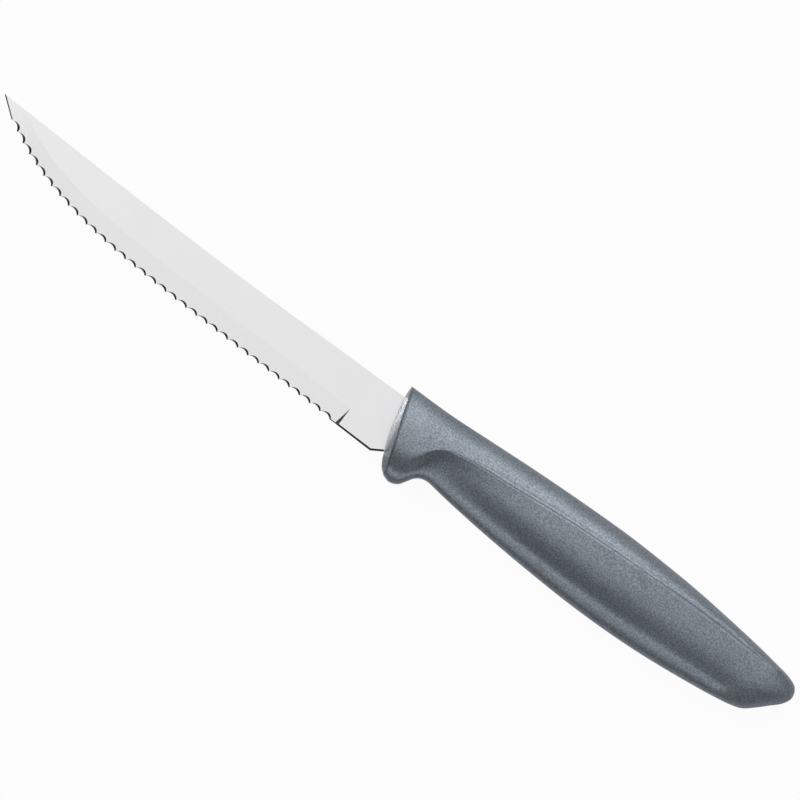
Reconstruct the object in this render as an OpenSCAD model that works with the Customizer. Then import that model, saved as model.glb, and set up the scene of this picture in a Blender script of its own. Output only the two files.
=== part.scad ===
// Kitchen knife: a serrated stamped blade with a plastic handle moulded over its tang.
// It lies on its side: the tip points to -X, the spine to +Y and the ground side of the blade to +Z.

/* [Blade] */
// Length of the blade in front of the handle, along its spine
blade_length = 127; // [110:1:150]
// Width of the blade at its heel
blade_width = 15.7; // [14:0.1:17]
// Thickness of the blade's sides after grinding
blade_thickness = 1.2; // [1:0.05:1.6]
// Thickness left at the cutting edge
edge_thickness = 0.18; // [0.1:0.01:0.3]
// Width of the ground bevel at the heel
bevel_width = 5.5; // [4:0.1:7]
// Length of the plain blade between the bevel and the handle
ricasso_length = 8.7; // [6:0.1:12]
// Width of the broken lower edge between the bevel and the handle
edge_break = 0.55; // [0.2:0.05:0.8]
// Slope of the plain ground edges from the flat of the blade
break_slope = 37; // [30:1:50]

/* [Serrations] */
// Distance from one tooth to the next along the edge
tooth_pitch = 3.3; // [2.5:0.1:5]
// Depth of each hollow between two teeth, on the flat side
hollow_depth = 0.72; // [0.5:0.02:1]
// Lean of each hollow's wall from the blade's own upright
hollow_lean = 58; // [40:1:65]
// Turn of that lean, from straight up the blade towards the handle
hollow_turn = 45; // [0:5:60]
// Plain edge between the last tooth and the end of the bevel
heel_land = 2.4; // [1.5:0.1:5]

/* [Handle] */
// Length of the handle
handle_length = 125; // [105:1:145]
// Greatest height of the handle, between its back and its belly
handle_height = 23; // [20:0.5:27]
// Greatest thickness of the handle
handle_thickness = 15; // [12:0.5:18]
// How far the front face swells out around the blade
front_swell = 2; // [0.5:0.1:3]
// Depth of the finger recess behind the collar
recess_depth = 0.9; // [0.5:0.1:2]
// Width of the slope from the collar down into the recess
recess_slope = 3.4; // [2:0.1:5]
// Radius of the upper front corner of the recess
recess_corner = 5.5; // [3:0.5:8]

/* [Tang] */
// Length of the tang inside the handle
tang_length = 86; // [60:1:95]
// Width of the tang
tang_width = 8.8; // [7:0.1:10]
// How far the tang stands proud of each ground side
tang_proud = 0.04; // [0.02:0.01:0.08]
// Diameter of the holes that lock the plastic to the tang
lock_hole_d = 5; // [3:0.5:6]

/* [Hidden] */
$fn = 64;

// Overrun of every cutting shape past what it cuts
overrun = 1;
// Flat left under the plain ground edges
edge_land = 0.03;
// How far the blank reaches past the teeth before they are ground
edge_stock = 0.2;
// How far in front of the handle the proud tang starts
mouth_step = 0.08;
// Lean of the wall that ends the bevel, and its run along the blade
plunge_lean = 45;
plunge_run = (blade_thickness - edge_thickness) * tan(plunge_lean);
// How far the bevel's cutter runs past its two lines, in shares of the bevel
bevel_extra_share = 0.25;

// The spine from the tip to the handle: along the blade, and above its tip in shares of the width
spine_shares = [
    [0, 0], [0.15, -0.02], [0.3, -0.036], [0.5, -0.045], [0.68, -0.031], [0.8, -0.007], [1, 0.025]
];
// The tips of the teeth from the first one to the heel: along the blade, and below the spine's tip
edge_shares = [
    [0.042, 0.262], [0.074, 0.405], [0.11, 0.533], [0.147, 0.64], [0.184, 0.73], [0.26, 0.854],
    [0.338, 0.926], [0.417, 0.96], [0.52, 0.978], [0.66, 0.984], [0.8, 0.988], [1, 1]
];
// Width of the ground bevel: along the blade, and in shares of its width at the heel
bevel_shares = [
    [0, 0.82], [0.06, 0.86], [0.12, 0.83], [0.18, 0.85], [0.26, 0.92], [0.36, 0.95], [0.55, 0.97], [1, 1]
];

// Outline of the handle's back from the blade to the butt: along the handle and above the spine line
back_shares = [
    [0, 0.16], [0.1, 0.171], [0.2, 0.21], [0.3, 0.25], [0.4, 0.281], [0.5, 0.303],
    [0.57, 0.307], [0.7, 0.287], [0.8, 0.247], [0.88, 0.205], [0.94, 0.163]
];
// Outline of the handle's belly from the collar to the butt: along the handle and below the spine line
belly_shares = [
    [0.066, 0.81], [0.083, 0.832], [0.1005, 0.792], [0.1108, 0.712], [0.1193, 0.64], [0.131, 0.592],
    [0.148, 0.574], [0.176, 0.591], [0.223, 0.617], [0.304, 0.651], [0.406, 0.679], [0.528, 0.695],
    [0.65, 0.676], [0.752, 0.628], [0.85, 0.559]
];
// Outline of the butt, from the end of the back round to the end of the belly
butt_shares = [
    [0.94, -0.163], [0.967, -0.14], [0.991, -0.086], [1, 0.03], [0.991, 0.144], [0.972, 0.25],
    [0.953, 0.355], [0.931, 0.456], [0.905, 0.504], [0.878, 0.533], [0.85, 0.559]
];
// How far each section leans towards the blade at its top, along the handle's belly
lean_shares = [
    [0.066, 0.066], [0.12, 0.055], [0.19, 0.025], [0.285, 0], [0.6, 0], [0.73, -0.03], [0.85, -0.09]
];
// Height of the crease on the handle's side, below the spine line
crease_shares = [
    [0, 0.33], [0.05, 0.365], [0.085, 0.365], [0.1, 0.325], [0.115, 0.25], [0.138, 0.165], [0.162, 0.13],
    [0.2, 0.092], [0.3, 0.04], [0.405, -0.022], [0.508, -0.064], [0.61, -0.092], [0.712, -0.113],
    [0.8, -0.12], [0.94, -0.1]
];
// Half thickness of the handle at its crease, in shares of the greatest
half_shares = [
    [0, 0.87], [0.1, 0.89], [0.2, 0.87], [0.33, 0.93], [0.5, 0.99],
    [0.6, 1], [0.75, 0.97], [0.85, 0.92], [1, 0.83]
];
// How much of a full quarter round the upper side makes before it stops at the crease
round_shares = [[0, 1], [0.09, 0.95], [0.16, 0.72], [0.9, 0.72], [1, 0.8]];
// Swell of the front face from its top to its bottom
swell_shares = [[0, 0], [0.1, 0.38], [0.3, 0.72], [0.55, 1], [0.8, 0.88], [0.93, 0.6], [1, 0]];
// How much each section narrows between the crease and the keel, along the handle
keel_shares = [[0, 0.46], [0.2, 0.48], [0.45, 0.5], [0.6, 0.44], [0.75, 0.4], [0.88, 0.34], [1, 0.32]];
// How long that narrowing is held back below the crease, along the handle, and where down it ends
keel_delays = [[0, 1], [0.13, 1], [0.18, 1.2], [0.26, 1.7], [0.36, 2.1], [0.5, 2.35], [1, 2.45]];
keel_end_share = 0.765;
// How sharply the keel is rounded, where 2 makes half an ellipse
keel_power = 18;
// Slope of the sides where the butt's rounding starts
butt_taper_share = 0.08;
// Where the collar ends, and where the finger recess has faded out
collar_share = 0.095;
recess_full_share = 0.17;
recess_end_share = 0.38;
// Where the blade's lower corner lies behind the handle's front, and how steeply its shoulder rises
corner_start_share = 0.013;
corner_slope = 0.63;
// Places of the lock holes along the tang
lock_hole_shares = [0.3, 0.78];
// First guess of where a section crosses the crease
crossing_share = 0.3;

// Number of slices along the spine and along the bevel, and how the bevel's crowd towards the tip
spine_slices = 24;
bevel_slices = 24;
bevel_crowding = 1.5;
// Number of slices between two belly points, in the finger notch and behind it
notch_slices = 3;
grip_slices = 4;
// Number of belly points around the finger notch
notch_stretches = 6;
// Number of slices down a section, above its crease and below
upper_slices = 7;
lower_slices = 23;
// Number of slices across the front face and around the butt
front_slices = 6;
butt_slices = 12;
// Number of slices across the hollow between two teeth
hollow_slices = 8;

// A table of shares at its real size
function sized(shares, along, across) = [for (s = shares) [s.x * along, s.y * across]];

// Slope of the curve through points p at its point i
function slope_of(p, i) =
    let (a = p[max(i - 1, 0)], b = p[min(i + 1, len(p) - 1)])
    (b.y - a.y) / (b.x - a.x);

// Number of the stretch of p that holds x
function stretch_of(p, x, i = 0) = i >= len(p) - 2 || x <= p[i + 1].x ? i : stretch_of(p, x, i + 1);

// Height at x of the smooth curve through points p, which run along x
function curve(p, x) =
    let (i = stretch_of(p, x), w = p[i + 1].x - p[i].x, t = (x - p[i].x) / w)
    (2 * t ^ 3 - 3 * t ^ 2 + 1) * p[i].y + (3 * t ^ 2 - 2 * t ^ 3) * p[i + 1].y
    + (t ^ 3 - 2 * t ^ 2 + t) * w * slope_of(p, i) + (t ^ 3 - t ^ 2) * w * slope_of(p, i + 1);

// Point number t, which may lie between two whole numbers, of the smooth path through points p
function path(p, t) =
    let (i = min(floor(t), len(p) - 2), f = t - i, a = p[max(i - 1, 0)], b = p[i], c = p[i + 1])
    let (d = p[min(i + 2, len(p) - 1)])
    b + (c - a) * f / 2 + (2 * a - 5 * b + 4 * c - d) * f ^ 2 / 2 + (3 * b - a - 3 * c + d) * f ^ 3 / 2;

// A soft step from 0 to 1
function soft(t) = let (u = min(max(t, 0), 1)) u * u * (3 - 2 * u);

// The blade's curves, with X along the blade from its tip
spine = sized(spine_shares, blade_length, blade_width);
edge = sized(edge_shares, blade_length, -blade_width);
bevel_widths = sized(bevel_shares, blade_length, bevel_width);

// The handle's curves, with X along the handle from its front
back = sized(back_shares, handle_length, handle_height);
belly = sized(belly_shares, handle_length, -handle_height);
butt = sized(butt_shares, handle_length, -handle_height);
leans = sized(lean_shares, handle_length, handle_length);
crease = sized(crease_shares, handle_length, -handle_height);
halves = sized(half_shares, handle_length, handle_thickness / 2);
rounds = sized(round_shares, handle_length, 1);
keels = sized(keel_shares, handle_length, 1);
delays = sized(keel_delays, handle_length, 1);

// Levels down a section, from its top at 0 over the crease at 1 to its bottom at 2
levels = [
    for (k = [0 : upper_slices - 1]) 1 - cos(90 * k / upper_slices),
    for (k = [0 : lower_slices]) 1 + sin(90 * k / lower_slices)
];
last_level = len(levels) - 1;

// Ends of each section: on the belly, and on the back above it
stations = [
    for (i = [0 : len(belly) - 2])
        let (slices = i < notch_stretches ? notch_slices : grip_slices)
        for (k = [0 : slices - 1]) path(belly, i + k / slices),
    belly[len(belly) - 1]
];
last_station = len(stations) - 1;
function above(low) = let (x = low.x - curve(leans, low.x)) [x, curve(back, x)];

// Share of a section's height at which it crosses the crease, closer than the guess
function crossing(high, low, guess) =
    (high.y - curve(crease, high.x + (low.x - high.x) * guess)) / (high.y - low.y);

// Depth of the finger recess at a point on the side, as a share of the half thickness there
function recess_at(p) =
    let (a = p.x - collar_share * handle_length, b = curve(crease, p.x) - p.y, r = recess_corner)
    let (inside = a < r && b < r ? r - norm([r - a, r - b]) : min(a, b))
    let (fade = 1 - soft((p.x / handle_length - recess_full_share) / (recess_end_share - recess_full_share)))
    recess_depth / (handle_thickness / 2) * fade * soft(inside / recess_slope);

// Half thickness of the handle at a point, at a level of its section
function half_at(p, level) =
    let (round = curve(rounds, p.x), upper = 1 - round * level, lower = level - 1)
    let (keel = curve(keels, p.x) * soft((max(lower, 0) / keel_end_share) ^ curve(delays, p.x)))
    curve(halves, p.x) * (
        level <= 1
        ? sqrt((1 - upper ^ 2) / (1 - (1 - round) ^ 2))
        : (1 - keel) * (1 - recess_at(p)) * sqrt(max(1 - lower ^ keel_power, 0))
    );

// Points of one section on the +Z side, from its top to its bottom
function section(low) =
    let (high = above(low), cut = crossing(high, low, crossing(high, low, crossing_share)))
    [
        for (level = levels)
            let (down = level <= 1 ? cut * level : cut + (1 - cut) * (level - 1))
            let (p = high + (low - high) * down)
            [p.x, p.y, half_at(p, level)]
    ];

sections = [for (low = stations) section(low)];
front = sections[0];
rear = sections[last_station];

// Points of the front face and of the butt, k slices round from the +Z side
function front_point(j, k) =
    let (across = 1 - 2 * k / front_slices, p = front[j])
    let (down = (front[0].y - p.y) / (front[0].y - front[last_level].y))
    [p.x - front_swell * curve(swell_shares, down) * (1 - across ^ 2), p.y, p.z * across];
function rear_point(j, k) =
    let (turn = 180 * k / butt_slices, p = rear[j], reach = sin(turn))
    let (down = norm([p.x - rear[0].x, p.y - rear[0].y]) / norm(rear[last_level] - rear[0]))
    let (q = path(butt, down * (len(butt) - 1)))
    [
        p.x + (q.x - p.x) * reach,
        p.y + (q.y - p.y) * reach,
        p.z * cos(turn) * (1 - butt_taper_share * reach)
    ];

// All points of the handle: the rings, then the insides of the front cap and of the butt
ring = 2 * last_level;
handle_points = [
    for (s = sections) each [for (p = s) p, for (j = [last_level - 1 : -1 : 1]) [s[j].x, s[j].y, -s[j].z]],
    for (j = [1 : last_level - 1]) for (k = [1 : front_slices - 1]) front_point(j, k),
    for (j = [1 : last_level - 1]) for (k = [1 : butt_slices - 1]) rear_point(j, k)
];
front_start = len(sections) * ring;
rear_start = front_start + (last_level - 1) * (front_slices - 1);

// Numbers of the points around a ring, and of those over a cap
function on_ring(i, j) = i * ring + j % ring;
function on_cap(i, start, slices, j, k) =
    j == 0 || j == last_level || k == 0 ? on_ring(i, j)
    : k == slices ? on_ring(i, ring - j)
    : start + (j - 1) * (slices - 1) + k - 1;

function on_front(j, k) = on_cap(0, front_start, front_slices, j, k);
function on_butt(j, k) = on_cap(last_station, rear_start, butt_slices, j, k);

// Two triangles between four points, without those that have no area
function cell(a, b, c, d) = [
    if (a != b && b != c && c != a) [a, b, c],
    if (a != c && c != d && d != a) [a, c, d]
];

handle_faces = [
    for (i = [0 : last_station - 1]) for (j = [0 : ring - 1])
        each cell(on_ring(i, j), on_ring(i + 1, j), on_ring(i + 1, j + 1), on_ring(i, j + 1)),
    for (j = [0 : last_level - 1]) for (k = [0 : front_slices - 1])
        each cell(on_front(j, k), on_front(j + 1, k), on_front(j + 1, k + 1), on_front(j, k + 1)),
    for (j = [0 : last_level - 1]) for (k = [0 : butt_slices - 1])
        each cell(on_butt(j, k), on_butt(j, k + 1), on_butt(j + 1, k + 1), on_butt(j + 1, k))
];

// The knife's reach, which sets the origin under the middle of its box
reach_x = max([for (p = handle_points) p.x]);
reach_up = max([for (p = handle_points) p.y]);
reach_down = min([for (p = handle_points) p.y]);
reach_side = max([for (p = handle_points) p.z]);
module place() {
    translate([(blade_length - reach_x) / 2, -(reach_up + reach_down) / 2, reach_side]) children();
}

// Line on the blade along which the proud tang starts, just in front of the handle
mouth = [
    for (j = [0 : last_level])
        let (p = j == 0 || j == last_level ? front[j] : front_point(j, front_slices / 2))
        [p.x - mouth_step, p.y]
];

// Teeth along the edge, from the tip to the heel
bevel_end = blade_length - ricasso_length;
last_tooth_x = bevel_end - heel_land + tooth_pitch / 4;
function step_from(x) =
    let (half = tooth_pitch / 2, rise = curve(edge, x + half) - curve(edge, x))
    tooth_pitch / norm([1, rise / half]);
teeth = [for (x = edge[0].x; x <= last_tooth_x; x = x + step_from(x)) [x, curve(edge, x)]];

// Outline of the stamped blank, which is the blade and its tang, without the tang's round end
spine_end = spine[len(spine) - 1].y;
heel = [blade_length + corner_start_share * handle_length, edge[len(edge) - 1].y];
tang_low = spine_end - tang_width;
shoulder = [heel.x + (tang_low - heel.y) / corner_slope, tang_low];
tang_round = [blade_length + tang_length - tang_width / 2, spine_end - tang_width / 2];
blank_outline = [
    for (k = [0 : spine_slices]) let (x = blade_length * k / spine_slices) [x, curve(spine, x)],
    [tang_round.x, spine_end],
    [tang_round.x, tang_low],
    shoulder,
    heel,
    teeth[len(teeth) - 1],
    for (i = [len(teeth) - 2 : -1 : 1]) teeth[i] - [0, edge_stock],
    teeth[0]
];

// Lines where the bevel's plane leaves the flat side, and where it meets the edge
function edge_at(x) = x < edge[0].x ? edge[0].y * x / edge[0].x : curve(edge, x);
flat_z = blade_thickness / 2;
thin_z = edge_thickness - flat_z;
flat_end = bevel_end - plunge_run;
bevel_x = [-overrun, for (k = [0 : bevel_slices]) flat_end * (k / bevel_slices) ^ bevel_crowding];
function bevel_row(x) =
    let (low = edge_at(x), wide = curve(bevel_widths, max(x, 0)))
    let (up = [x, low + wide * (1 + bevel_extra_share), flat_z + (flat_z - thin_z) * bevel_extra_share])
    let (out = [x, low - wide * bevel_extra_share, thin_z - (flat_z - thin_z) * bevel_extra_share])
    [up, out, [x, out.y, up.z]];
plunge_row = [for (p = bevel_row(bevel_end)) [p.x + (p.z - flat_z) * tan(plunge_lean), p.y, p.z]];
bevel_rows = [for (x = bevel_x) bevel_row(x), plunge_row];

// Rows of the shape that grinds the hollows, leaning from tooth to tooth and reaching past the edge
function hollow_row(foot, along, rise) =
    let (up = [-along.y, along.x], cut = foot + rise * up, out = foot - 2 * overrun * up)
    let (lean = tan(hollow_lean) * (sin(hollow_turn) * along + cos(hollow_turn) * up))
    let (low = -overrun, high = blade_thickness + overrun)
    [for (s = [[cut, high], [cut, low], [out, low], [out, high]]) [each s[0] + s[1] * lean, s[1] - flat_z]];
function hollow_rows(a, b) =
    let (half = norm(b - a) / 2, radius = (half ^ 2 + hollow_depth ^ 2) / (2 * hollow_depth))
    let (along = (b - a) / (2 * half), wide = asin(half / radius))
    [
        for (k = [0 : hollow_slices - 1])
            let (turn = wide * (2 * k / hollow_slices - 1), drop = radius * (1 - cos(turn)))
            hollow_row((a + b) / 2 + radius * sin(turn) * along, along, hollow_depth - drop)
    ];
last_tooth = teeth[len(teeth) - 1];
last_gap = last_tooth - teeth[len(teeth) - 2];
teeth_rows = [
    for (i = [0 : len(teeth) - 2]) each hollow_rows(teeth[i], teeth[i + 1]),
    hollow_row(last_tooth, last_gap / norm(last_gap), 0)
];

// A solid that runs through rows of points
module through(rows) {
    n = len(rows[0]);
    last = n * (len(rows) - 1);
    polyhedron(
        [for (row = rows) each row],
        [
            [for (k = [n - 1 : -1 : 0]) k],
            [for (k = [0 : n - 1]) last + k],
            for (i = [0 : n : last - n]) for (k = [0 : n - 1])
                each cell(i + (k + 1) % n, i + n + (k + 1) % n, i + n + k, i + k)
        ],
        convexity = 4
    );
}

// Takes all above a slope that rises inwards from the edge line between a and b, from height foot
module slope_cut(a, b, foot, before, after) {
    wide = (blade_thickness + overrun) / sin(break_slope);
    translate([a.x, a.y, foot])
        rotate([0, 0, atan2(b.y - a.y, b.x - a.x)])
            rotate([break_slope, 0, 0])
                translate([-before, -overrun, 0])
                    cube([norm(b - a) + before + after, wide + overrun, blade_thickness + overrun]);
}

// The blank with its lock holes
module blank_shape() {
    difference() {
        union() {
            polygon(blank_outline);
            translate(tang_round) circle(d = tang_width);
        }
        for (share = lock_hole_shares)
            translate([blade_length + tang_length * share, tang_round.y]) circle(d = lock_hole_d);
    }
}

// The part of the blank that the handle covers, which keeps the sheet's full thickness
module tang() {
    linear_extrude(blade_thickness + 2 * tang_proud, center = true) intersection() {
        blank_shape();
        polygon([
            for (p = mouth) [blade_length + p.x, p.y],
            [blade_length + handle_length, mouth[last_level].y],
            [blade_length + handle_length, mouth[0].y]
        ]);
    }
}

module blade() {
    thin_foot = [flat_end, edge_at(flat_end)];
    break_z = flat_z - edge_break * tan(break_slope);
    color("silver") place() translate([-blade_length, 0, 0]) {
        difference() {
            linear_extrude(blade_thickness, center = true) blank_shape();
            through(bevel_rows);
            through(teeth_rows);
            slope_cut([0, 0], teeth[0], edge_land - flat_z, overrun, tooth_pitch / 4);
            slope_cut(last_tooth, thin_foot, edge_land - flat_z, tooth_pitch / 2, 0);
            slope_cut([thin_foot.x, heel.y], heel, break_z, 0, 0);
            slope_cut(heel, shoulder, break_z, 0, 0);
        }
        tang();
    }
}

module handle() {
    color("slategray") place() difference() {
        polyhedron(handle_points, handle_faces, convexity = 6);
        translate([-blade_length, 0, 0]) tang();
    }
}

blade();
handle();
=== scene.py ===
"""Kitchen knife with a serrated steel blade and a moulded plastic handle, lying on a white table."""

import logging
import math
from dataclasses import dataclass, field
from enum import Enum, IntEnum

import bmesh
import bpy
from mathutils import Matrix, Vector


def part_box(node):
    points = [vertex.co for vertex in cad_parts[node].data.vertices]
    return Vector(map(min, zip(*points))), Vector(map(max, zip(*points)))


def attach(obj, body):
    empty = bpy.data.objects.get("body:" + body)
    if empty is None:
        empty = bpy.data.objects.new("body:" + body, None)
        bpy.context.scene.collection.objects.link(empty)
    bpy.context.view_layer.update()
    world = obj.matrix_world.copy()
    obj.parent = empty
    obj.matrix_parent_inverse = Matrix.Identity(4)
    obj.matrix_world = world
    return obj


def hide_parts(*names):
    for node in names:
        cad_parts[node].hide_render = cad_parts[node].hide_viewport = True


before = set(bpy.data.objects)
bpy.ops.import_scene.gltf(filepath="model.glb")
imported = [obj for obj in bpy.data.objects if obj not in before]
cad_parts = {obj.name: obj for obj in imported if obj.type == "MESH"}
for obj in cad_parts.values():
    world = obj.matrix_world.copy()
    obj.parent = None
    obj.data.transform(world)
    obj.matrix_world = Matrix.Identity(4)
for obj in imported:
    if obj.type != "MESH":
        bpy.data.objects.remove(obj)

LOG = logging.getLogger("knife")
BODY = "root"
RIDGE = "ridge"
MM = 0.001
QUARTER_TURN = math.pi / 2

# Points closer together than this are one point.
MERGE = 0.001 * MM
# Half the side of the flat grid that becomes the handle's skin.
GRID_HALF = 0.5
# The values that most of a noise pattern has.
NOISE_SPAN = (0.3, 0.7)

Shares = tuple[tuple[float, float], ...]
Span = tuple[float, float]
Colour = tuple[float, float, float, float]


class Ray(Enum):
    """The kinds of ray that see the table as a bright background."""

    CAMERA = "Is Camera Ray"
    GLOSSY = "Is Glossy Ray"
    TRANSMISSION = "Is Transmission Ray"


class Skin(IntEnum):
    """The finishes of the handle's skin, in the order of its materials."""

    SIDES = 0
    FRONT = 1


class Steel(IntEnum):
    """The finishes of the blade's faces, in the order of its materials."""

    FLAT = 0
    GROUND = 1
    # The cut faces' nearly black colour is painted shade on the blade's walls and edges.
    CUT = 2


def soft_step(t: float) -> float:
    """Rises softly from 0 to 1 while t does."""
    t = min(max(t, 0.0), 1.0)
    return t * t * (3 - 2 * t)


def bell(t: float) -> float:
    """Gives the height of a bell curve that is 1 at its middle."""
    return math.exp(-(t**2))


def spread(start: float, end: float, steps: int) -> list[float]:
    """Gives evenly spread values from start up to, but without, end."""
    return [start + (end - start) * k / steps for k in range(steps)]


@dataclass(frozen=True)
class Profile:
    """A smooth curve through points."""

    points: Shares

    @classmethod
    def sized(cls, shares: Shares, along: float, across: float) -> "Profile":
        """Makes a curve from points that are shares of a length along X and a length across it."""
        return cls(tuple((x * along, y * across) for x, y in shares))

    def slope(self, index: int) -> float:
        """Gives the slope at a point, from its two neighbours.

        Args:
            index: the number of the point.

        Returns:
            The slope there.
        """
        before = self.points[max(index - 1, 0)]
        after = self.points[min(index + 1, len(self.points) - 1)]
        return (after[1] - before[1]) / (after[0] - before[0])

    def at(self, x: float) -> float:
        """Gives the curve's height at x, where its points run along X.

        Args:
            x: the place along the curve.

        Returns:
            The height there.
        """
        index = 0
        while index < len(self.points) - 2 and x > self.points[index + 1][0]:
            index += 1
        (x0, y0), (x1, y1) = self.points[index], self.points[index + 1]
        width = x1 - x0
        t = (x - x0) / width
        return (
            (2 * t**3 - 3 * t**2 + 1) * y0
            + (3 * t**2 - 2 * t**3) * y1
            + (t**3 - 2 * t**2 + t) * width * self.slope(index)
            + (t**3 - t**2) * width * self.slope(index + 1)
        )

    def along(self, t: float) -> Vector:
        """Gives a point of the smooth path through the points, which may turn any way.

        Args:
            t: the number of the point, which may lie between two whole numbers.

        Returns:
            The point at t.
        """
        last = len(self.points) - 1
        index = min(int(t), last - 1)
        part = t - index
        places = [min(max(index + k, 0), last) for k in (-1, 0, 1, 2)]
        before, start, end, after = (Vector(self.points[place]) for place in places)
        run = (end - before) / 2
        bend = (2 * before - 5 * start + 4 * end - after) / 2
        twist = (3 * start - before - 3 * end + after) / 2
        return start + run * part + bend * part**2 + twist * part**3


def start_material(name: str) -> tuple[bpy.types.Material, bpy.types.NodeTree, bpy.types.Node]:
    """Starts a material.

    Args:
        name: the material's name.

    Returns:
        The material, its nodes and its shader.
    """
    material = bpy.data.materials.new(name)
    material.use_nodes = True
    return material, material.node_tree, material.node_tree.nodes["Principled BSDF"]


def noise(
    tree: bpy.types.NodeTree, place: bpy.types.NodeSocket, size: float, detail: float
) -> bpy.types.NodeSocket:
    """Adds a noise pattern.

    Args:
        tree: the material's nodes.
        place: the socket that gives the place on the piece.
        size: the size of one grain, in metres.
        detail: how many finer layers it has.

    Returns:
        The socket that gives the pattern, from 0 to 1.
    """
    node = tree.nodes.new("ShaderNodeTexNoise")
    node.inputs["Scale"].default_value = 1 / size
    node.inputs["Detail"].default_value = detail
    tree.links.new(place, node.inputs["Vector"])
    return node.outputs["Fac"]


def blend(
    tree: bpy.types.NodeTree, first: bpy.types.NodeSocket, second: bpy.types.NodeSocket, share: float
) -> bpy.types.NodeSocket:
    """Blends two patterns.

    Args:
        tree: the material's nodes.
        first: the socket that gives the first pattern.
        second: the socket that gives the second one.
        share: the second one's share.

    Returns:
        The socket that gives the blend.
    """
    node = tree.nodes.new("ShaderNodeMix")
    node.data_type = "FLOAT"
    node.inputs["Factor"].default_value = share
    tree.links.new(first, node.inputs["A"])
    tree.links.new(second, node.inputs["B"])
    return node.outputs["Result"]


def tint(
    tree: bpy.types.NodeTree, pattern: bpy.types.NodeSocket, span: Span, dark: Colour, light: Colour
) -> bpy.types.NodeSocket:
    """Turns a pattern into colours.

    Args:
        tree: the material's nodes.
        pattern: the socket that gives the pattern.
        span: the values that get the dark and the light colour.
        dark: the dark colour.
        light: the light colour.

    Returns:
        The socket that gives the colours.
    """
    node = tree.nodes.new("ShaderNodeValToRGB")
    first, second = node.color_ramp.elements
    first.position, second.position = span
    first.color = dark
    second.color = light
    tree.links.new(pattern, node.inputs["Fac"])
    return node.outputs["Color"]


def map_range(
    tree: bpy.types.NodeTree, value: bpy.types.NodeSocket, old: Span, new: Span
) -> bpy.types.NodeSocket:
    """Turns the values of one span into those of another.

    Args:
        tree: the nodes of the material or the world.
        value: the socket that gives the value.
        old: the first and last value that it has.
        new: the values that these become.

    Returns:
        The socket that gives the new value.
    """
    node = tree.nodes.new("ShaderNodeMapRange")
    node.inputs["From Min"].default_value = old[0]
    node.inputs["From Max"].default_value = old[1]
    node.inputs["To Min"].default_value = new[0]
    node.inputs["To Max"].default_value = new[1]
    tree.links.new(value, node.inputs["Value"])
    return node.outputs["Result"]


@dataclass(frozen=True)
class PlasticFinish:
    """Grey moulded plastic, filled with fine metal flakes that give it a silky, speckled shine."""

    name: str = "moulded_plastic"
    dark: Colour = (0.13, 0.152, 0.172, 1.0)
    light: Colour = (0.229, 0.257, 0.286, 1.0)
    colour_span: Span = (0.38, 0.62)
    metallic: float = 1.0
    roughness: float = 0.6
    roughness_change: float = 0.02
    skin_weight: float = 0.0
    skin_roughness: float = 0.25
    speckle_size: float = 0.4 * MM
    cloud_size: float = 14 * MM
    cloud_share: float = 0.12
    grain_depth: float = 0.02 * MM
    grain_strength: float = 0.5

    def material(self) -> bpy.types.Material:
        """Builds the finish.

        Returns:
            The plastic's material.
        """
        material, tree, shader = start_material(self.name)
        shader.inputs["Metallic"].default_value = self.metallic
        shader.inputs["Coat Weight"].default_value = self.skin_weight
        shader.inputs["Coat Roughness"].default_value = self.skin_roughness
        place = tree.nodes.new("ShaderNodeTexCoord").outputs["Object"]

        speckle = noise(tree, place, self.speckle_size, detail=2.0)
        cloud = noise(tree, place, self.cloud_size, detail=3.0)
        pattern = blend(tree, speckle, cloud, self.cloud_share)
        colour = tint(tree, pattern, self.colour_span, self.dark, self.light)
        tree.links.new(colour, shader.inputs["Base Color"])

        rough_to_smooth = (self.roughness + self.roughness_change, self.roughness - self.roughness_change)
        roughness = map_range(tree, speckle, NOISE_SPAN, rough_to_smooth)
        tree.links.new(roughness, shader.inputs["Roughness"])

        grain = tree.nodes.new("ShaderNodeBump")
        grain.inputs["Strength"].default_value = self.grain_strength
        grain.inputs["Distance"].default_value = self.grain_depth
        tree.links.new(speckle, grain.inputs["Height"])
        tree.links.new(grain.outputs["Normal"], shader.inputs["Normal"])
        return material


@dataclass(frozen=True)
class SteelFinish:
    """Stainless steel with a fine satin grain."""

    name: str
    stretch: tuple[float, float, float]
    colour: Colour = (0.8, 0.8, 0.81, 1.0)
    dark_share: float = 0.97
    metallic: float = 1.0
    roughness: float = 0.3
    grain_size: float = 0.25 * MM
    cloud_size: float = 12 * MM
    cloud_share: float = 0.5

    def material(self) -> bpy.types.Material:
        """Builds the finish.

        Returns:
            The steel's material.
        """
        material, tree, shader = start_material(self.name)
        shader.inputs["Metallic"].default_value = self.metallic
        shader.inputs["Roughness"].default_value = self.roughness
        place = tree.nodes.new("ShaderNodeTexCoord").outputs["Object"]
        stretched = tree.nodes.new("ShaderNodeMapping")
        stretched.inputs["Scale"].default_value = self.stretch
        tree.links.new(place, stretched.inputs["Vector"])

        grain = noise(tree, stretched.outputs["Vector"], self.grain_size, detail=4.0)
        cloud = noise(tree, place, self.cloud_size, detail=3.0)
        pattern = blend(tree, grain, cloud, self.cloud_share)
        red, green, blue, alpha = self.colour
        dark = (red * self.dark_share, green * self.dark_share, blue * self.dark_share, alpha)
        colour = tint(tree, pattern, NOISE_SPAN, dark, self.colour)
        tree.links.new(colour, shader.inputs["Base Color"])
        return material


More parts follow.
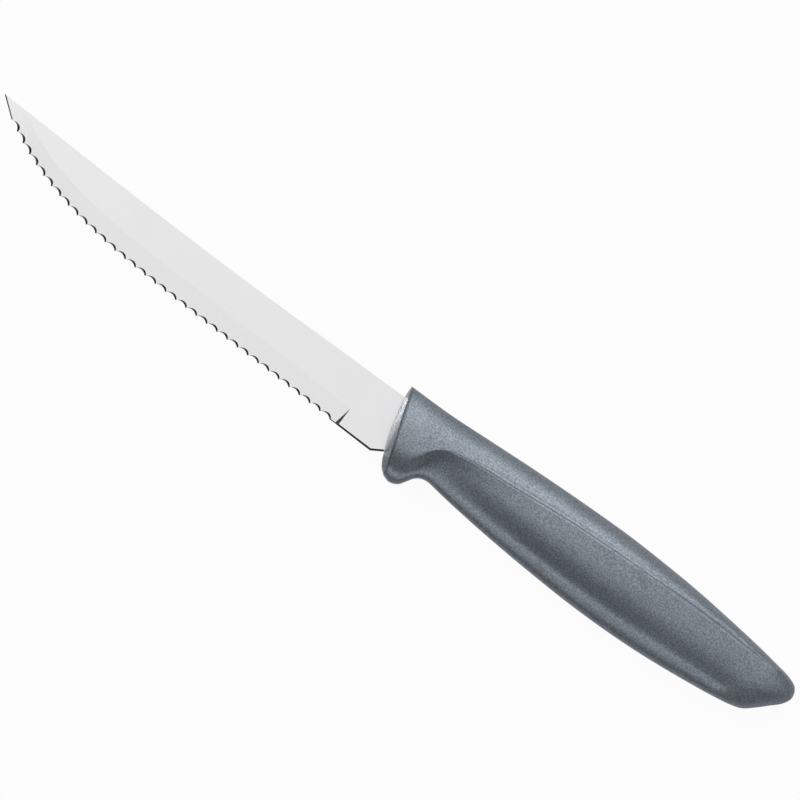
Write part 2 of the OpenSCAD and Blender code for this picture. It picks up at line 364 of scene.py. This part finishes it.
@dataclass(frozen=True)
class TableFinish:
    """A white table top that the camera sees as a bright background, with the knife's shadow."""

    name: str = "white_table"
    colour: Colour = (0.45, 0.45, 0.45, 1.0)
    glow_share: float = 0.95

    def material(self) -> bpy.types.Material:
        """Builds the finish.

        Returns:
            The table's material.
        """
        material, tree, shader = start_material(self.name)
        tree.nodes.remove(shader)
        board = tree.nodes.new("ShaderNodeBsdfDiffuse")
        board.inputs["Color"].default_value = self.colour
        glow = tree.nodes.new("ShaderNodeEmission")
        rays = tree.nodes.new("ShaderNodeLightPath")
        seen = rays.outputs[Ray.CAMERA.value]
        for ray in (Ray.GLOSSY, Ray.TRANSMISSION):
            either = tree.nodes.new("ShaderNodeMath")
            either.operation = "MAXIMUM"
            tree.links.new(seen, either.inputs[0])
            tree.links.new(rays.outputs[ray.value], either.inputs[1])
            seen = either.outputs["Value"]
        share = tree.nodes.new("ShaderNodeMath")
        share.operation = "MULTIPLY"
        share.inputs[1].default_value = self.glow_share
        tree.links.new(seen, share.inputs[0])
        mixed = tree.nodes.new("ShaderNodeMixShader")
        tree.links.new(share.outputs["Value"], mixed.inputs["Fac"])
        tree.links.new(board.outputs["BSDF"], mixed.inputs[1])
        tree.links.new(glow.outputs["Emission"], mixed.inputs[2])
        tree.links.new(mixed.outputs["Shader"], tree.nodes["Material Output"].inputs["Surface"])
        return material


def finished(name: str, bm: bmesh.types.BMesh, *finishes: bpy.types.Material) -> bpy.types.Object:
    """Turns a bmesh into a piece of the scene.

    Args:
        name: the piece's name.
        bm: its mesh, which is freed.
        finishes: its materials.

    Returns:
        The piece, at the origin.
    """
    mesh = bpy.data.meshes.new(name)
    bm.to_mesh(mesh)
    bm.free()
    for finish in finishes:
        mesh.materials.append(finish)
    piece = bpy.data.objects.new(name, mesh)
    bpy.context.scene.collection.objects.link(piece)
    return piece


@dataclass(frozen=True)
class Recess:
    """The shallow recess for a finger, behind the collar and below the crease.

    Its wall is crisp beside the crease and grows softer further down, and it runs out along the handle.
    """

    depth: float = 0.9 * MM
    wall_width: float = 3.4 * MM
    corner: float = 4.2 * MM
    crisp_height: float = 5 * MM
    start_share: float = 0.095
    full_share: float = 0.17
    end_share: float = 0.38

    def depth_at(self, x: float, below: float, length: float) -> float:
        """Gives the recess's depth at a point of the side.

        Args:
            x: the point's place along the handle.
            below: how far it lies below the crease.
            length: the handle's length.

        Returns:
            The depth there.
        """
        behind = x - self.start_share * length
        if behind < self.corner and below < self.corner:
            inside = self.corner - math.hypot(self.corner - behind, self.corner - below)
        else:
            inside = min(behind, below)
        down = min(max(inside / self.wall_width, 0.0), 1.0)
        crisp = 1 - soft_step(below / self.crisp_height)
        wall = crisp * down * (2 - down) + (1 - crisp) * soft_step(down)
        faded = soft_step((x / length - self.full_share) / (self.end_share - self.full_share))
        return self.depth * (1 - faded) * wall


@dataclass(frozen=True)
class Grooves:
    """The two fine grooves along the crease, with a narrow bead between them."""

    depth: float = 0.15 * MM
    width: float = 0.16 * MM
    bead_width: float = 0.9 * MM
    upper_depth_share: float = 0.5
    start_share: float = 0.135
    end_share: float = 0.93
    fade_share: float = 0.03
    bead_start_share: float = 0.14
    bead_fade_share: float = 0.12

    def depth_at(self, share: float, above: float) -> float:
        """Gives the grooves' depth at a point of the side.

        Args:
            share: the point's place along the handle, as a share of its length.
            above: how far it lies above the lower groove.

        Returns:
            The depth there.
        """
        left = self.end_share - share
        fade = soft_step((share - self.start_share) / self.fade_share) * soft_step(left / self.fade_share)
        opening = soft_step((share - self.bead_start_share) / self.bead_fade_share)
        opening *= soft_step(left / self.bead_fade_share)
        lower = bell(above / self.width)
        upper = bell((above - self.bead_width * opening) / self.width)
        return self.depth * fade * max(lower, self.upper_depth_share * upper * opening)


@dataclass(frozen=True)
class FrontGroove:
    """The fine groove behind the rounded ridge of the front face."""

    depth: float = 0.35 * MM
    place: float = 0.4 * MM
    width: float = 0.2 * MM

    def depth_at(self, behind: float) -> float:
        """Gives the groove's depth at a distance behind the ridge."""
        return self.depth * bell((behind - self.place) / self.width)


@dataclass(frozen=True)
class SkinGrid:
    """The grid of the handle's skin, with columns from front to butt and rows from back to belly.

    A row has a level: 0 at the handle's back, 1 at the crease along its side and 2 at its belly.
    """

    front_columns: int = 22
    first_columns: int = 26
    fewest_columns: int = 6
    column_step: float = 0.42 * MM
    butt_columns: int = 36
    back_rows: int = 22
    back_end_share: float = 0.87
    crease_rows: int = 24
    crease_gap: float = 0.02
    crease_end: float = 1.05
    side_rows: int = 60
    side_start_share: float = 0.035
    ridge_columns: int = 3
    ridge_passes: int = 4
    ridge_softness: float = 0.5

    def levels(self) -> list[float]:
        """Spreads the rows down a section, closer together at the crease.

        Returns:
            The rows' levels.
        """
        back = [1 - math.cos(t * QUARTER_TURN) for t in spread(0, self.back_end_share, self.back_rows)]
        beside = spread(back[-1] + self.crease_gap, self.crease_end, self.crease_rows)
        nearest = min(range(len(beside)), key=lambda k: abs(beside[k] - 1))
        beside[nearest] = 1.0
        side = [1 + math.sin(t * QUARTER_TURN) for t in spread(self.side_start_share, 1, self.side_rows)]
        return back + beside + side + [2.0]

    def stations(self, path: Profile) -> list[float]:
        """Spreads the sections along a path, close together behind the front face.

        Args:
            path: the path.

        Returns:
            The sections' places on the path, as numbers of its points.
        """
        places = []
        last = len(path.points) - 1
        for index in range(last):
            gap = path.points[index + 1][0] - path.points[index][0]
            steps = max(self.fewest_columns, round(gap / self.column_step))
            if index == 0:
                steps = self.first_columns
            places += spread(index, index + 1, steps)
        return places + [float(last)]

    def front_shares(self) -> list[float]:
        """Gives how far out from the middle plane the columns of the front face lie, as shares."""
        return [math.sin(turn) for turn in spread(0, QUARTER_TURN, self.front_columns)]

    def butt_turns(self) -> list[float]:
        """Gives the angles of the columns round the butt, up to a quarter turn."""
        return [QUARTER_TURN * (k + 1) / self.butt_columns for k in range(self.butt_columns)]


@dataclass
class Handle:
    """The plastic handle, moulded over the blade's tang.

    Its own frame has X along the handle from its front, Y up to its back and Z across, in metres. Its
    curves are shares of its length, height and half thickness. Above the polish floor, its front face
    has a glossier finish than its sides.
    """

    sides_finish: PlasticFinish = PlasticFinish()
    front_finish: PlasticFinish = PlasticFinish(name="polished_plastic", skin_weight=0.75)
    polish_floor: float = -14.5 * MM

    # The main sizes, the front face's swell and the butt's taper.
    length: float = 125 * MM
    height: float = 23 * MM
    half_thickness: float = 7.5 * MM
    front_swell: float = 2 * MM
    butt_taper_share: float = 0.08
    recess: Recess = Recess()
    grooves: Grooves = Grooves()
    front_groove: FrontGroove = FrontGroove()
    grid: SkinGrid = SkinGrid()

    # The outline seen from the side: its back, its belly and its butt.
    back_shares: Shares = (
        (0, 0.16), (0.1, 0.171), (0.2, 0.21), (0.3, 0.25), (0.4, 0.281), (0.5, 0.303),
        (0.57, 0.307), (0.7, 0.287), (0.8, 0.247), (0.88, 0.205), (0.94, 0.163),
    )
    belly_shares: Shares = (
        (0.066, 0.81), (0.083, 0.832), (0.1005, 0.792), (0.1108, 0.712), (0.1193, 0.64),
        (0.131, 0.592), (0.148, 0.574), (0.176, 0.591), (0.223, 0.617), (0.304, 0.651),
        (0.406, 0.679), (0.528, 0.695), (0.65, 0.676), (0.752, 0.628), (0.85, 0.559),
    )
    butt_shares: Shares = (
        (0.94, -0.163), (0.967, -0.14), (0.991, -0.086), (1, 0.03), (0.991, 0.144), (0.972, 0.25),
        (0.953, 0.355), (0.931, 0.456), (0.905, 0.504), (0.878, 0.533), (0.85, 0.559),
    )

    # How far each section's foot lies behind its top.
    lean_shares: Shares = (
        (0.066, 0.063), (0.12, 0.055), (0.19, 0.025), (0.285, 0), (0.6, 0), (0.73, -0.03), (0.85, -0.09),
    )

    # The crease between the rounded back and the side, and the lower groove beside it.
    crease_shares: Shares = (
        (0, 0.33), (0.05, 0.365), (0.085, 0.365), (0.1, 0.325), (0.115, 0.25), (0.138, 0.165),
        (0.162, 0.13), (0.2, 0.092), (0.3, 0.04), (0.405, -0.022), (0.508, -0.064), (0.61, -0.1),
        (0.712, -0.142), (0.8, -0.15), (0.87, -0.135), (0.94, -0.105),
    )
    groove_shares: Shares = (
        (0.1, 0.325), (0.115, 0.25), (0.138, 0.165), (0.162, 0.13), (0.2, 0.092), (0.3, 0.04),
        (0.405, -0.022), (0.508, -0.064), (0.61, -0.092), (0.712, -0.113), (0.8, -0.12), (0.94, -0.1),
    )

    # The half thickness at the crease, how much of a quarter round the back has, and how square it is.
    half_shares: Shares = (
        (0, 0.87), (0.1, 0.89), (0.2, 0.87), (0.33, 0.93), (0.5, 0.99),
        (0.6, 1), (0.75, 0.97), (0.85, 0.92), (1, 0.83),
    )
    round_shares: Shares = ((0, 1), (0.09, 0.95), (0.16, 0.72), (0.9, 0.72), (1, 0.8))
    back_powers: Shares = ((0, 2), (0.13, 2.03), (0.3, 2.2), (1, 2.25))

    # The swell of the front face, from its top to its foot.
    swell_shares: Shares = ((0, 0), (0.1, 0.38), (0.3, 0.72), (0.55, 1), (0.8, 0.88), (0.93, 0.6), (1, 0))

    # How much thinner the side grows towards the belly, how late and by where, and how tight its foot is.
    keel_shares: Shares = (
        (0, 0.46), (0.2, 0.48), (0.45, 0.5), (0.6, 0.44), (0.75, 0.4), (0.88, 0.34), (1, 0.32),
    )
    keel_delays: Shares = (
        (0, 1.6), (0.09, 1.5), (0.12, 0.95), (0.145, 0.8), (0.18, 1.05),
        (0.26, 1.65), (0.36, 2.1), (0.5, 2.35), (1, 2.45),
    )
    keel_end_share: float = 0.765
    keel_power: float = 14

    # How the place where a section meets the crease is found.
    crease_guess: float = 0.3
    crease_rounds: int = 4

    back: Profile = field(init=False)
    belly: Profile = field(init=False)
    butt: Profile = field(init=False)
    lean: Profile = field(init=False)
    crease: Profile = field(init=False)
    groove: Profile = field(init=False)
    half: Profile = field(init=False)
    rounding: Profile = field(init=False)
    back_power: Profile = field(init=False)
    swell: Profile = field(init=False)
    keel: Profile = field(init=False)
    keel_delay: Profile = field(init=False)
    levels: list[float] = field(init=False)
    stations: list[float] = field(init=False)

    def __post_init__(self) -> None:
        """Works out the curves, and the levels and stations of the skin's rows and columns."""
        self.back = Profile.sized(self.back_shares, self.length, self.height)
        self.belly = Profile.sized(self.belly_shares, self.length, -self.height)
        self.butt = Profile.sized(self.butt_shares, self.length, -self.height)
        self.lean = Profile.sized(self.lean_shares, self.length, self.length)
        self.crease = Profile.sized(self.crease_shares, self.length, -self.height)
        self.groove = Profile.sized(self.groove_shares, self.length, -self.height)
        self.half = Profile.sized(self.half_shares, self.length, self.half_thickness)
        self.rounding = Profile.sized(self.round_shares, self.length, 1)
        self.back_power = Profile.sized(self.back_powers, self.length, 1)
        self.swell = Profile.sized(self.swell_shares, 1, self.front_swell)
        self.keel = Profile.sized(self.keel_shares, self.length, 1)
        self.keel_delay = Profile.sized(self.keel_delays, self.length, 1)
        self.levels = self.grid.levels()
        self.stations = self.grid.stations(self.belly)

    def back_half(self, x: float, level: float) -> float:
        """Gives the half thickness at a point of the rounded back.

        Args:
            x: the point's place along the handle.
            level: its level in its section.

        Returns:
            The distance from the middle plane to the skin.
        """
        rounding = self.rounding.at(x)
        power = self.back_power.at(x)
        up = 1 - rounding * level
        return self.half.at(x) * (max(1 - up**power, 0) / (1 - (1 - rounding) ** power)) ** (1 / power)

    def side_half(self, x: float, y: float, level: float) -> float:
        """Gives the half thickness at a point of the side, below the crease.

        Args:
            x: the point's place along the handle.
            y: its height.
            level: its level in its section.

        Returns:
            The distance from the middle plane to the skin.
        """
        down = level - 1
        keel = self.keel.at(x) * soft_step((down / self.keel_end_share) ** self.keel_delay.at(x))
        end = math.sqrt(max(1 - down**self.keel_power, 0))
        recess = self.recess.depth_at(x, self.crease.at(x) - y, self.length) / self.half_thickness
        return self.half.at(x) * (1 - keel) * (1 - recess) * end

    def crease_share(self, high: Vector, low: Vector) -> float:
        """Finds where a section meets the crease.

        Args:
            high: the section's top.
            low: its foot.

        Returns:
            The share of the way down.
        """
        share = self.crease_guess
        for _ in range(self.crease_rounds):
            x = high.x + (low.x - high.x) * share
            share = (high.y - self.crease.at(x)) / (high.y - low.y)
        return share

    def section(self, place: float) -> list[Vector]:
        """Works out one section on the +Z side.

        Args:
            place: its place on the belly's path.

        Returns:
            Its points from the top to the bottom.
        """
        low = self.belly.along(place)
        top = low.x - self.lean.at(low.x)
        high = Vector((top, self.back.at(top)))
        cut = self.crease_share(high, low)
        front_groove = self.front_groove.depth_at(low.x - self.belly.points[0][0])
        points = []
        for level in self.levels:
            down = cut * level if level <= 1 else cut + (1 - cut) * (level - 1)
            x, y = high + (low - high) * down
            half = self.back_half(x, level) if level <= 1 else self.side_half(x, y, level)
            groove = self.grooves.depth_at(x / self.length, y - self.groove.at(x))
            points.append(Vector((x, y, max(half - groove - front_groove, 0))))
        return points

    def front_column(self, front: list[Vector], across: float) -> list[Vector]:
        """Works out one column of the swollen front face.

        Args:
            front: the first section.
            across: 0 on the middle plane, 1 at the first section.

        Returns:
            The column's points from the top to the bottom.
        """
        tall = front[0].y - front[-1].y
        points = []
        for point in front:
            swell = self.swell.at((front[0].y - point.y) / tall)
            points.append(Vector((point.x - swell * (1 - across**2), point.y, point.z * across)))
        return points

    def butt_column(self, rear: list[Vector], turn: float) -> list[Vector]:
        """Works out one column of the rounded butt.

        Args:
            rear: the last section.
            turn: the angle round from that section, up to a quarter turn.

        Returns:
            The column's points from the top to the bottom.
        """
        reach = math.sin(turn)
        top, bottom = rear[0].xy, rear[-1].xy
        points = []
        for point in rear:
            down = (point.xy - top).length / (bottom - top).length
            outline = self.butt.along(down * (len(self.butt.points) - 1))
            x, y = point.xy + (outline - point.xy) * reach
            z = point.z * math.cos(turn) * (1 - self.butt_taper_share * reach)
            points.append(Vector((x, y, z)))
        return points

    def skin(self) -> list[list[Vector]]:
        """Works out all columns of the +Z side.

        Returns:
            The columns, from the middle of the front face to the middle of the butt.
        """
        body = [self.section(place) for place in self.stations]
        front = [self.front_column(body[0], across) for across in self.grid.front_shares()]
        butt = [self.butt_column(body[-1], turn) for turn in self.grid.butt_turns()]
        return front + body + butt

    def side(self) -> bmesh.types.BMesh:
        """Lays a grid over the +Z side, marks its front ridge and gives each face its finish.

        Returns:
            The mesh of the +Z side.
        """
        columns = self.skin()
        wide, tall = len(columns) - 1, len(self.levels) - 1
        bm = bmesh.new()
        bmesh.ops.create_grid(bm, x_segments=wide, y_segments=tall, size=GRID_HALF)
        in_front = [
            face
            for face in bm.faces
            if (face.calc_center_median().x + GRID_HALF) * wide < self.grid.front_columns
        ]
        ridge = bm.verts.layers.float.new(RIDGE)
        for vert in bm.verts:
            column = round((vert.co.x + GRID_HALF) * wide)
            row = round((GRID_HALF - vert.co.y) * tall)
            vert.co = columns[column][row]
            vert[ridge] = float(abs(column - self.grid.front_columns) <= self.grid.ridge_columns)
        for face in in_front:
            if face.calc_center_median().y > self.polish_floor:
                face.material_index = Skin.FRONT
        bmesh.ops.remove_doubles(bm, verts=bm.verts, dist=MERGE)
        return bm

    def soften_ridge(self, bm: bmesh.types.BMesh) -> None:
        """Rounds the ridge between the front face and the sides.

        Args:
            bm: the handle's mesh.
        """
        ridge = bm.verts.layers.float[RIDGE]
        near = [vert for vert in bm.verts if vert[ridge]]
        for _ in range(self.grid.ridge_passes):
            bmesh.ops.smooth_vert(
                bm,
                verts=near,
                factor=self.grid.ridge_softness,
                use_axis_x=True,
                use_axis_y=True,
                use_axis_z=True,
            )

    def shape(self) -> bmesh.types.BMesh:
        """Builds the handle's closed skin from its +Z side and the mirror image of it.

        Returns:
            The handle's mesh, in the knife's frame.
        """
        bm = self.side()
        bmesh.ops.mirror(
            bm,
            geom=bm.verts[:] + bm.edges[:] + bm.faces[:],
            matrix=Matrix.Identity(4),
            axis="Z",
            merge_dist=MERGE,
        )
        bmesh.ops.remove_doubles(bm, verts=bm.verts, dist=MERGE)
        self.soften_ridge(bm)
        bmesh.ops.recalc_face_normals(bm, faces=bm.faces)
        high = Vector([max(vert.co[axis] for vert in bm.verts) for axis in range(3)])
        bmesh.ops.translate(bm, verts=bm.verts, vec=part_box("handle")[1] - high)
        for face in bm.faces:
            face.smooth = True
        return bm

    def build(self) -> bpy.types.Object:
        """Builds the handle, dresses it and puts it in the place of the solid one.

        Returns:
            The finished handle.
        """
        finishes = {Skin.SIDES: self.sides_finish, Skin.FRONT: self.front_finish}
        piece = finished("moulded_handle", self.shape(), *(finishes[skin].material() for skin in Skin))
        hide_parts("handle")
        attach(piece, BODY)
        return piece


@dataclass
class Blade:
    """The stamped and ground blade with its tang: the solid one with eased edges and dressed faces."""

    flat_finish: SteelFinish = SteelFinish(name="satin_steel", stretch=(0.04, 1.0, 1.0))
    # The ground bevel's colour is a little lighter than the flats': painted light on the bevel.
    ground_finish: SteelFinish = SteelFinish(
        name="ground_steel", stretch=(1.0, 0.04, 1.0), colour=(0.83, 0.83, 0.84, 1.0)
    )
    # The cut faces and eased edges are painted nearly black: painted shade on the walls and edges that turn
    # away from the light.
    shaded_cut_finish: SteelFinish = SteelFinish(
        name="shaded_cut_steel", stretch=(1.0, 1.0, 0.1), colour=(0.12, 0.12, 0.13, 1.0)
    )
    ease: float = 0.03 * MM
    ease_segments: int = 2
    ease_angle: float = math.radians(25)
    coplanar_angle: float = math.radians(0.5)
    flat_tilt: float = math.radians(5)
    ground_tilt: float = math.radians(20)

    def finish_at(self, face: bmesh.types.BMFace) -> Steel:
        """Picks a face's finish by how far it tilts from the blade's flat.

        Args:
            face: a face of the blade.

        Returns:
            Its finish.
        """
        tilt = math.acos(min(abs(face.normal.z), 1))
        if tilt < self.flat_tilt:
            return Steel.FLAT
        return Steel.GROUND if tilt < self.ground_tilt else Steel.CUT

    def dress(self, bm: bmesh.types.BMesh, eased: list[bmesh.types.BMFace]) -> None:
        """Gives each face its finish, and keeps the edges between two finishes sharp.

        Args:
            bm: the blade's mesh.
            eased: the narrow faces along its eased edges, which all get the cut faces' nearly black colour
                as painted shade.
        """
        bm.normal_update()
        for face in bm.faces:
            face.material_index = self.finish_at(face)
            face.smooth = True
        for face in eased:
            face.material_index = Steel.CUT
        for edge in bm.edges:
            finishes = {face.material_index for face in edge.link_faces}
            edge.smooth = len(finishes) == 1 and edge.calc_face_angle(0) < self.ease_angle

    def shape(self) -> bmesh.types.BMesh:
        """Copies the solid blade, joins its triangles, eases its edges and dresses its faces.

        Returns:
            The blade's mesh.
        """
        bm = bmesh.new()
        bm.from_mesh(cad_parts["blade"].data)
        bmesh.ops.remove_doubles(bm, verts=bm.verts, dist=MERGE)
        bmesh.ops.dissolve_limit(bm, angle_limit=self.coplanar_angle, verts=bm.verts, edges=bm.edges)
        sharp = [edge for edge in bm.edges if edge.is_manifold and edge.calc_face_angle() > self.ease_angle]
        eased = bmesh.ops.bevel(
            bm,
            geom=sharp,
            offset=self.ease,
            offset_type="OFFSET",
            segments=self.ease_segments,
            profile=0.5,
            affect="EDGES",
            clamp_overlap=True,
            material=-1,
        )["faces"]
        self.dress(bm, eased)
        return bm

    def build(self) -> bpy.types.Object:
        """Builds the blade, dresses it and puts it in the place of the solid one.

        Returns:
            The finished blade.
        """
        finishes = {
            Steel.FLAT: self.flat_finish,
            Steel.GROUND: self.ground_finish,
            Steel.CUT: self.shaded_cut_finish,
        }
        piece = finished("ground_blade", self.shape(), *(finishes[steel].material() for steel in Steel))
        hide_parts("blade")
        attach(piece, BODY)
        return piece


@dataclass(frozen=True)
class Lamp:
    """A square soft lamp that faces the knife.

    It turns round from the right of the picture and tilts away from straight above, both in degrees. Its
    size is the side of its square in metres, and its power is in watts.
    """

    name: str
    turn: float
    tilt: float
    size: float
    power: float

    def build(self, picture_turn: float, distance: float) -> None:
        """Adds the lamp to the scene.

        Args:
            picture_turn: how far the picture is turned, in radians.
            distance: the lamp's distance from the knife.
        """
        light = bpy.data.lights.new(self.name, "AREA")
        light.shape = "SQUARE"
        light.size = self.size
        light.energy = self.power
        lamp = bpy.data.objects.new(self.name, light)
        around = math.radians(self.turn) + picture_turn
        down = math.radians(self.tilt)
        reach = math.sin(down)
        direction = Vector((math.cos(around) * reach, math.sin(around) * reach, math.cos(down)))
        lamp.location = direction * distance
        lamp.rotation_mode = "QUATERNION"
        lamp.rotation_quaternion = direction.to_track_quat("Z", "Y")
        bpy.context.scene.collection.objects.link(lamp)


@dataclass
class Studio:
    """The table, the lamps and the camera straight above the knife.

    In the picture the knife falls from the upper left to the lower right, so the camera is turned by
    the angle of that fall. The picture is as wide as its frame at the subject's height.
    """

    picture_run: float = 0.795
    picture_fall: float = 0.607
    camera_place: tuple[float, float] = (1.0 * MM, 5.14 * MM)
    camera_distance: float = 2.0
    camera_clips: Span = (0.1, 50)
    frame_width: float = 203.0 * MM
    subject_height: float = 7.5 * MM
    sensor_width: float = 36.0

    table_size: float = 12.0
    world_colour: Colour = (1.0, 1.0, 1.0, 1.0)
    world_strength: float = 0.2
    world_rise: Span = (0.3, 0.7)
    lamp_distance: float = 1.5
    lamps: tuple[Lamp, ...] = (
        Lamp("overhead_softbox", turn=90, tilt=0, size=2.2, power=10.5),
        Lamp("key_softbox", turn=52, tilt=44, size=0.5, power=10.5),
        Lamp("rim_softbox", turn=52, tilt=60, size=0.5, power=4.5),
        Lamp("tip_softbox", turn=142, tilt=44, size=0.5, power=12.2),
        Lamp("butt_softbox", turn=322, tilt=44, size=0.5, power=3.4),
        Lamp("belly_softbox", turn=232, tilt=44, size=0.5, power=0.8),
    )

    def picture_turn(self) -> float:
        """Gives the camera's turn, in radians."""
        return math.atan2(self.picture_fall, self.picture_run)

    def build_camera(self) -> None:
        """Sets the camera straight above the knife."""
        lens = bpy.data.cameras.new("camera")
        lens.sensor_width = self.sensor_width
        lens.lens = self.sensor_width * self.camera_distance / self.frame_width
        lens.clip_start, lens.clip_end = self.camera_clips
        camera = bpy.data.objects.new("camera", lens)
        camera.location = (*self.camera_place, self.subject_height + self.camera_distance)
        camera.rotation_euler = (0, 0, self.picture_turn())
        bpy.context.scene.collection.objects.link(camera)
        bpy.context.scene.camera = camera

    def build_table(self) -> None:
        """Builds the table top under the knife."""
        bm = bmesh.new()
        bmesh.ops.create_grid(bm, x_segments=1, y_segments=1, size=self.table_size / 2)
        table = finished("table", bm, TableFinish().material())

    def build_world(self) -> None:
        """Sets the dim light from above, which fades out towards the sides."""
        world = bpy.data.worlds.new("studio")
        world.use_nodes = True
        tree = world.node_tree
        background = tree.nodes["Background"]
        background.inputs["Color"].default_value = self.world_colour
        height = tree.nodes.new("ShaderNodeSeparateXYZ")
        tree.links.new(tree.nodes.new("ShaderNodeTexCoord").outputs["Generated"], height.inputs["Vector"])
        strength = map_range(tree, height.outputs["Z"], self.world_rise, (0.0, self.world_strength))
        tree.links.new(strength, background.inputs["Strength"])
        bpy.context.scene.world = world

    def build(self) -> None:
        """Builds the camera, the table, the lamps and the world."""
        self.build_camera()
        self.build_table()
        for lamp in self.lamps:
            lamp.build(self.picture_turn(), self.lamp_distance)
        self.build_world()


def main() -> None:
    """Builds the studio and the knife, and reports each piece."""
    logging.basicConfig(level=logging.INFO)
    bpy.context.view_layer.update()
    bpy.context.scene.view_settings.view_transform = "Standard"
    Studio().build()
    for part in (Blade(), Handle()):
        piece = part.build()
        LOG.info("%s: %d faces", piece.name, len(piece.data.polygons))


if __name__ == "__main__":
    main()
